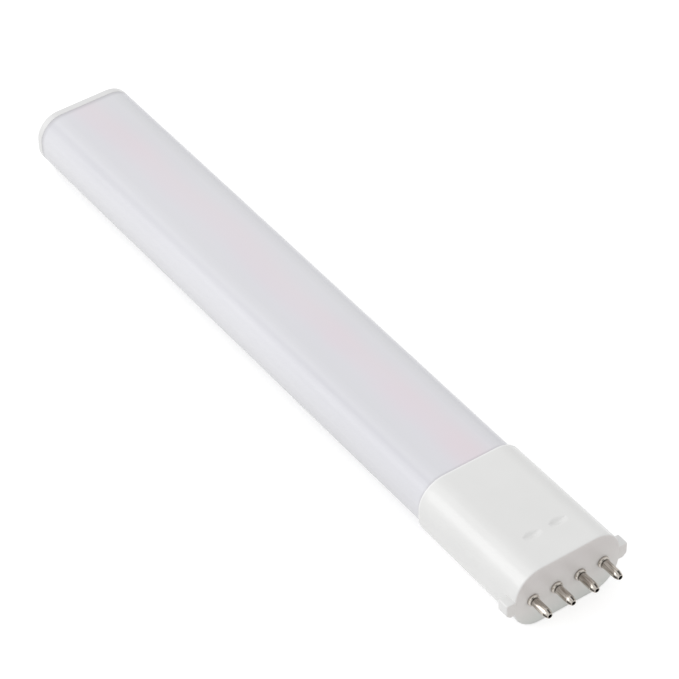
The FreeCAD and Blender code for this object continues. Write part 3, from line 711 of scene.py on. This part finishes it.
def scoop(x, y):
    """How deep the half-moon marks are at a place on the cap's top."""
    depth = 0.0
    for middle in MARKS:
        offset = y - middle
        if abs(offset) >= MARK_HALF:
            continue
        edge = MARK_EDGE + MARK_RADIUS - math.sqrt(MARK_RADIUS ** 2 - offset ** 2)
        share = 1 - (offset / MARK_HALF) ** 2
        past = x - edge
        wall = MARK_WALL * share
        depth = max(depth, MARK_DEPTH * share * min(smooth_step(past / wall),
                                                    1 - smooth_step((past - wall) / MARK_FLOOR)))
    return depth


def cap_ring(mesh, x, inset):
    """One ring of the cap's skin, with its draft and with the marks in its top."""
    inset += CAP_DRAFT * -x / CAP_LENGTH
    top = CAP_HALF_HEIGHT - inset
    points = []
    for across, up in outline(CAP_HALF_WIDTH - inset, top, CAP_CORNER - inset):
        on_top = up > top - SAME_HEIGHT
        points.append((across, up - scoop(x, across) if on_top else up))
    return place_ring(mesh, x, points)


def make_cap():
    """The cap as one piece: its drafted shell, the block that holds the pins, and its lugs."""
    mesh = bmesh.new()
    places = [(-depth, inset) for depth, inset in reversed(quarter_round(CAP_EDGE, 15))]
    places += [(x, 0) for x in CAP_ROWS]
    places += [(-CAP_LENGTH + depth, inset) for depth, inset in quarter_round(CAP_LIP, 18)]
    rings = [cap_ring(mesh, x, inset) for x, inset in places]
    close_ring(mesh, rings[0])
    seat = (tube_high[1] / MM + SEAT_GAP, tube_high[2] / MM + SEAT_GAP, SEAT_CORNER)
    cavity = [size - SEAT_LEDGE for size in seat]
    ledge = -CAP_LENGTH + SEAT_DEPTH
    for x, sizes in ((-CAP_LENGTH, seat), (ledge, seat), (ledge, cavity), (-END_WALL, cavity)):
        rings.append(place_ring(mesh, x, outline(*sizes)))
    join_rings(mesh, rings)
    close_ring(mesh, rings[-1])
    rounded_box(mesh, *PIN_BLOCK, PIN_BLOCK_ROUND)
    (back, front), (bottom, top) = LUG_ALONG, LUG_UP
    for side in (-1, 1):
        low, high = sorted((side * LUG_ROOT, side * cap_high[1] / MM))
        rounded_box(mesh, (back, low, bottom), (front, high, top), LUG_ROUND, LUG_CUT)
    piece = dress("moulded_cap", mesh, cap_white, "base_housing")


# Far plug, in millimetres: its flange has a rounded rim and a shallow step on its outer face.
# The joint's edge is given as (distance from the joint, inset), the step as (depth, inset from the rim).
PLUG_CORNER = 6.9
RIM_SHARE = 0.28
SPIGOT_INSET = 1.3
JOINT_EDGE = ((0.0, 0.30), (0.12, 0.06), (0.2, 0.0))
FACE_STEP = ((0.02, 0.3), (0.14, 0.5), (0.14, 0.9))


def make_far_cap():
    """The far plug as one piece: a flange flush with the tube, and a spigot inside it."""
    mesh = bmesh.new()
    joint, back = FAR_JOINT / MM, far_low[0] / MM
    radius = RIM_SHARE * (joint - back)
    places = [(far_high[0] / MM, SPIGOT_INSET), (joint, SPIGOT_INSET)]
    places += [(joint - gap, inset) for gap, inset in JOINT_EDGE]
    places += [(back + depth, inset) for depth, inset in quarter_round(radius, 15)]
    places += [(back + depth, radius + inset) for depth, inset in FACE_STEP]
    sizes = (tube_high[1] / MM, tube_high[2] / MM, PLUG_CORNER)
    rings = [place_ring(mesh, x, outline(*(size - inset for size in sizes))) for x, inset in places]
    close_ring(mesh, rings[0])
    join_rings(mesh, rings)
    close_ring(mesh, rings[-1])
    piece = dress("far_plug", mesh, far_white, "end_cap")


# Contact pins, in millimetres from the cap's end face, with radii. The crease and the collar's
# back are given as (place, depth below the shank or below the collar's top).
SEGMENTS = 96
SHANK = 1.175
BORE = 0.52
TIP = 0.80
TIP_ROUND = 0.14
HOLE_ROUND = 0.10
RIM_ROUND = 0.16
TAPER = 1.7
TAPER_STEPS = 16
TAPER_POWER = 0.8
SHANK_START = 1.35
SHANK_STEPS = 9
CREASE = ((1.16, 0.0), (1.08, 0.03), (1.0, 0.05), (0.93, 0.02))
DOME_START = 0.36
DOME_LENGTH = 0.52
DOME_FOOT = 0.03
COLLAR_BACK = ((0.20, 0.0), (0.08, 0.02), (0.02, 0.07), (0.0, 0.16))
TAIL_BEVEL = 0.05
HOLE_DEPTH = 5.0
# The profile's first points, which are inside the hole and stay round
HOLE_POINTS = 7


def arc(centre_x, centre_r, radius_x, radius_r, start, end, steps):
    """Points along a part of an ellipse, as (along, radius) in millimetres."""
    points = []
    for step in range(steps + 1):
        angle = math.radians(start + (end - start) * step / steps)
        points.append((centre_x + radius_x * math.cos(angle), centre_r + radius_r * math.sin(angle)))
    return points


def pin_profile(length, tail, collar):
    """The pin's outline from inside its hole, over the tip and the collar, to the tail."""
    front, taper = length - TIP_ROUND, length - TAPER
    points = [(length - HOLE_DEPTH, BORE), (front, BORE)]
    points += arc(front, BORE + HOLE_ROUND, TIP_ROUND, HOLE_ROUND, 270, 360, 5)
    points += arc(front, TIP - RIM_ROUND, TIP_ROUND, RIM_ROUND, 0, 90, 6)
    for step in range(1, TAPER_STEPS + 1):
        share = step / TAPER_STEPS
        points.append((front - (front - taper) * share,
                       TIP + (SHANK - TIP) * math.sin(math.pi / 2 * share) ** TAPER_POWER))
    for step in range(1, SHANK_STEPS + 1):
        points.append((taper + (SHANK_START - taper) * step / SHANK_STEPS, SHANK))
    points += [(x, SHANK - depth) for x, depth in CREASE]
    points += arc(DOME_START, SHANK + DOME_FOOT, DOME_LENGTH, collar - SHANK - DOME_FOOT, 0, 90, 14)
    points += [(x, collar - depth) for x, depth in COLLAR_BACK]
    points += [(0.0, SHANK), (-tail / 2, SHANK), (-tail + TAIL_BEVEL, SHANK), (-tail, SHANK - TAIL_BEVEL),
               (-tail, BORE)]
    return points


def make_pin(node):
    """A turned and swaged pin that stands for its solid."""
    low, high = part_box(node)
    length, tail = high[0] / MM, -low[0] / MM
    collar = (high[1] - low[1]) / 2 / MM
    middle = (low[1] + high[1]) / 2
    mesh = bmesh.new()
    rings = []
    for number, (x, radius) in enumerate(pin_profile(length, tail, collar)):
        pressed = 0.0
        if number >= HOLE_POINTS:
            pressed = (smooth_step((x - length + GROOVE_START) / GROOVE_EASE)
                       * smooth_step((length - RIM_PLAIN - x) / RIM_EASE))
        ring = []
        for step in range(SEGMENTS):
            angle = 2 * math.pi * step / SEGMENTS
            groove = max(0.0, math.cos(GROOVES * angle + GROOVE_TURN) - GROOVE_EDGE) / (1 - GROOVE_EDGE)
            reach = (radius - GROOVE_DEPTH * pressed * groove) * MM
            ring.append(mesh.verts.new((x * MM, middle + reach * math.cos(angle), reach * math.sin(angle))))
        rings.append(ring)
    join_rings(mesh, rings + rings[:1])
    material = pin_metal(f"nickel_{node}", middle, length * MM, COLLAR_FRONT * MM)
    piece = dress(f"turned_{node}", mesh, material, node, sharp=40)


# Stage
def white_ray(nodes, links):
    """1 for what the camera sees, straight, mirrored or through glass."""
    path = nodes.new("ShaderNodeLightPath")
    total = path.outputs["Is Camera Ray"]
    for name in ("Is Glossy Ray", "Is Transmission Ray"):
        node = nodes.new("ShaderNodeMath")
        node.operation = "ADD"
        node.use_clamp = True
        links.new(total, node.inputs[0])
        links.new(path.outputs[name], node.inputs[1])
        total = node.outputs["Value"]
    return total


def add_square(name, half, height, material):
    """A flat square for the stage."""
    mesh = bpy.data.meshes.new(name)
    corners = [(-half, -half, height), (half, -half, height), (half, half, height), (-half, half, height)]
    mesh.from_pydata(corners, [], [(0, 1, 2, 3)])
    mesh.materials.append(material)
    return add_object(name, mesh)


def make_floor():
    """A white sweep that keeps the lamp's soft shadow and looks white to the camera."""
    material = bpy.data.materials.new("sweep_white")
    material.use_nodes = True
    nodes, links = material.node_tree.nodes, material.node_tree.links
    shader = nodes["Principled BSDF"]
    shader.inputs["Base Color"].default_value = (FLOOR_TONE, FLOOR_TONE, FLOOR_TONE, 1)
    shader.inputs["Roughness"].default_value = 0.9
    lift = nodes.new("ShaderNodeMath")
    lift.operation = "MULTIPLY"
    lift.inputs[1].default_value = FLOOR_LIFT
    links.new(white_ray(nodes, links), lift.inputs[0])
    shader.inputs["Emission Color"].default_value = (1, 1, 1, 1)
    links.new(lift.outputs["Value"], shader.inputs["Emission Strength"])
    floor = add_square("floor", FLOOR_HALF, FLOOR, material)


def make_strip():
    """A long soft light on the lamp's left, seen only mirrored, along the shoulders."""
    rise = STRIP_TOP - STRIP_FOOT
    data = bpy.data.lights.new("strip", "AREA")
    data.shape = "RECTANGLE"
    data.size, data.size_y = STRIP_LENGTH, rise.length
    data.energy = STRIP_LEVEL * math.pi * data.size * data.size_y
    light = add_object("strip", data)
    light.location = (STRIP_TOP + STRIP_FOOT) / 2
    light.rotation_euler = rise.cross(Vector((1, 0, 0))).to_track_quat("-Z", "Y").to_euler()
    light.visible_diffuse = False


def make_flag():
    """A black card behind the camera and to its right, seen only mirrored."""
    material = bpy.data.materials.new("flag_black")
    material.use_nodes = True
    shader = material.node_tree.nodes["Principled BSDF"]
    shader.inputs["Base Color"].default_value = (0.01, 0.01, 0.01, 1)
    shader.inputs["Specular IOR Level"].default_value = 0.0
    flag = add_square("flag", FLAG_HALF, 0, material)
    flag.location = FLAG_FROM.normalized() * FLAG_AWAY
    flag.rotation_euler = FLAG_FROM.to_track_quat("Z", "Y").to_euler()
    flag.visible_camera = flag.visible_diffuse = flag.visible_shadow = flag.visible_transmission = False


def make_camera():
    """The photograph's view."""
    data = bpy.data.cameras.new("camera")
    data.sensor_width = SENSOR
    data.lens = LENS
    data.clip_start = 0.01
    camera = add_object("camera", data)
    right = CAMERA_RIGHT.normalized()
    up = -CAMERA_DOWN.normalized()
    turn = Matrix((right, up, right.cross(up))).transposed()
    camera.matrix_world = Matrix.Translation(CAMERA_PLACE) @ turn.to_4x4()
    bpy.context.scene.camera = camera


def make_key():
    """One broad soft key, as bright all along the lamp. A level of 1 lights white as a white sky does."""
    data = bpy.data.lights.new("key", "SUN")
    data.energy = KEY_LEVEL * math.pi
    data.angle = math.radians(KEY_SPREAD)
    light = add_object("key", data)
    light.rotation_euler = KEY_FROM.to_track_quat("Z", "Y").to_euler()


def make_world():
    """Even white light, which the camera and mirrors see as plain white."""
    world = bpy.data.worlds.new("studio")
    world.use_nodes = True
    nodes, links = world.node_tree.nodes, world.node_tree.links
    background = nodes["Background"]
    background.inputs["Color"].default_value = (1, 1, 1, 1)
    strength = nodes.new("ShaderNodeMapRange")
    strength.inputs["To Min"].default_value = WORLD_LEVEL
    strength.inputs["To Max"].default_value = 1.0
    links.new(white_ray(nodes, links), strength.inputs["Value"])
    links.new(strength.outputs["Result"], background.inputs["Strength"])
    bpy.context.scene.world = world


make_camera()
make_world()
make_key()
make_strip()
make_flag()
make_floor()
paint_nodes()
make_cap()
make_far_cap()
for number in range(1, 5):
    make_pin(f"pin_{number}")
bpy.context.scene.view_settings.view_transform = "Standard"
